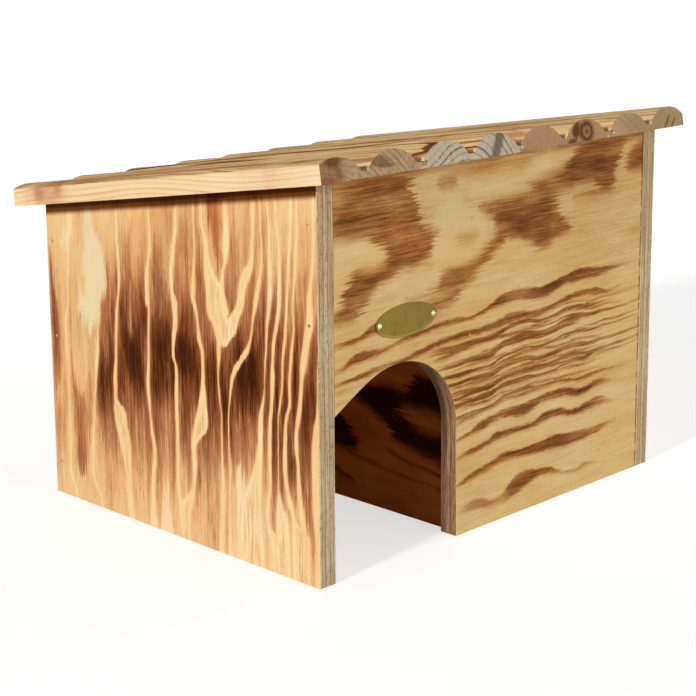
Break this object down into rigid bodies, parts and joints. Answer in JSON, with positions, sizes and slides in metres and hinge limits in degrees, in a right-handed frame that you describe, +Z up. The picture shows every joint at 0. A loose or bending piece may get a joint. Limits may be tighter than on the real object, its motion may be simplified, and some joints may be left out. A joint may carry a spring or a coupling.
{
  "type": "hedgehog house",
  "caption": "Scorched plywood hedgehog house with no floor, an arched entrance, an inner wall that makes a dog-leg way in, and a hinged lean-to lid of half-round boards.",
  "frame": {"origin": "on the ground, under the middle of the bounding box", "axes": "+X right seen from the front, +Y away from the viewer to the back wall, +Z up; the front wall with the entrance faces -Y"},
  "size_m": [0.392, 0.3312, 0.2886],
  "materials": {
    "scorched_plywood": "flame-scorched softwood plywood with an open grain",
    "roof_pine": "planed pine, untreated",
    "batten_pine": "sawn pine, untreated",
    "brass": "satin",
    "zinc_steel": "zinc plated"
  },
  "bodies": {
    "house": {"back_wall": "scorched_plywood", "brass_plate": "brass", "front_wall": "scorched_plywood", "front_wall_nails": "zinc_steel", "hinge_wall_screws": "zinc_steel", "inner_wall": "scorched_plywood", "left_hinge_pin": "zinc_steel", "left_hinge_wall_leaf": "zinc_steel", "left_wall": "scorched_plywood", "left_wall_nails": "zinc_steel", "plate_pins": "brass", "right_hinge_pin": "zinc_steel", "right_hinge_wall_leaf": "zinc_steel", "right_wall": "scorched_plywood", "right_wall_nails": "zinc_steel"},
    "lid": {"batten_screws": "zinc_steel", "hinge_roof_screws": "zinc_steel", "left_hinge_roof_leaf": "zinc_steel", "right_hinge_roof_leaf": "zinc_steel", "roof_batten_back": "batten_pine", "roof_batten_front": "batten_pine", "roof_board_1": "roof_pine", "roof_board_2": "roof_pine", "roof_board_3": "roof_pine", "roof_board_4": "roof_pine"}
  },
  "joints": [
    {"name": "lid_hinge", "type": "hinge", "parent": "house", "child": "lid", "pos_m": [0, 0.14577, 0.2196], "axis": [-1, 0, 0], "range_deg": [0, 100]}
  ]
}
